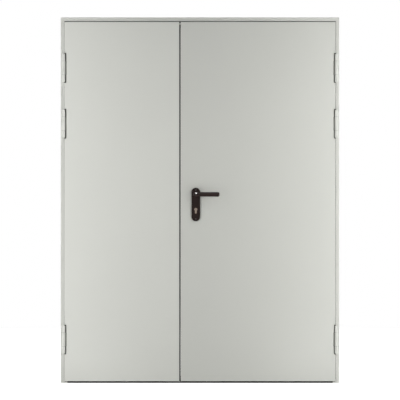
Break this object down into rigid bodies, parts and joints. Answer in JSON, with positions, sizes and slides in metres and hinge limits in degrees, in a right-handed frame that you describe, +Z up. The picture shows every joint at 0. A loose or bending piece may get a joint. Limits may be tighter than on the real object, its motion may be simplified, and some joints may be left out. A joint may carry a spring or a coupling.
{
  "type": "steel utility door",
  "caption": "Closed double steel utility door in its own light grey frame, a narrow passive leaf beside a wide active leaf with a black lever handle and profile cylinder.",
  "frame": {"origin": "centre of the threshold's flat underside, halfway across the frame's width and depth", "axes": "+X to the right as seen from the visible front, +Y into the wall away from the front, +Z up"},
  "size_m": [1.6, 0.171, 2.1],
  "materials": {
    "frame_paint": "semi-matt light grey powder coat",
    "leaf_paint": "semi-matt light grey powder coat",
    "hinge_paint": "semi-matt light grey powder coat",
    "threshold_dark": "dark coated steel",
    "seal_rubber": "matt",
    "bright_steel": "zinc plated",
    "cylinder_nickel": "matt nickel",
    "handle_black": "satin black",
    "screw_black": "blackened",
    "mineral_wool": "matt"
  },
  "bodies": {
    "frame": {"left_jamb": "frame_paint", "right_jamb": "frame_paint", "frame_head": "frame_paint", "threshold": "threshold_dark", "frame_gasket": "seal_rubber", "left_hinge_frame_knuckles": "hinge_paint", "right_hinge_frame_knuckles": "hinge_paint", "left_hinge_pins": "bright_steel", "right_hinge_pins": "bright_steel", "left_hinge_washers": "bright_steel", "right_hinge_washers": "bright_steel", "head_keeper": "bright_steel", "threshold_keeper": "bright_steel"},
    "passive_leaf": {"passive_front_sheet": "leaf_paint", "passive_back_pan": "leaf_paint", "passive_core": "mineral_wool", "passive_hinge_knuckles": "hinge_paint", "passive_dog_bolts": "bright_steel", "flush_bolt_upper": "bright_steel", "flush_bolt_lower": "bright_steel", "strike_plate": "bright_steel", "meeting_gasket": "seal_rubber", "passive_drop_seal": "seal_rubber"},
    "active_leaf": {"active_front_sheet": "leaf_paint", "active_back_pan": "leaf_paint", "active_core": "mineral_wool", "active_hinge_knuckles": "hinge_paint", "active_dog_bolts": "bright_steel", "lock_case": "bright_steel", "lock_forend": "bright_steel", "latch_bolt": "bright_steel", "dead_bolt": "bright_steel", "profile_cylinder": "cylinder_nickel", "front_handle_plate": "handle_black", "back_handle_plate": "handle_black", "plate_screws": "screw_black", "active_drop_seal": "seal_rubber"},
    "lever_set": {"lever_spindle": "bright_steel", "front_lever": "handle_black", "back_lever": "handle_black"}
  },
  "joints": [
    {"name": "active_leaf_hinge", "type": "hinge", "parent": "frame", "child": "active_leaf", "pos_m": [0.7845, -0.0585, 1], "axis": [0, 0, 1], "range_deg": [0, 170]},
    {"name": "passive_leaf_hinge", "type": "hinge", "parent": "frame", "child": "passive_leaf", "pos_m": [-0.7845, -0.0585, 1], "axis": [0, 0, -1], "range_deg": [0, 170]},
    {"name": "lever_turn", "type": "hinge", "parent": "active_leaf", "child": "lever_set", "pos_m": [-0.024, -0.0295, 1.082], "axis": [0, 1, 0], "range_deg": [0, 40], "stiffness_Nm_per_rad": 3, "springref_deg": -20.05}
  ]
}
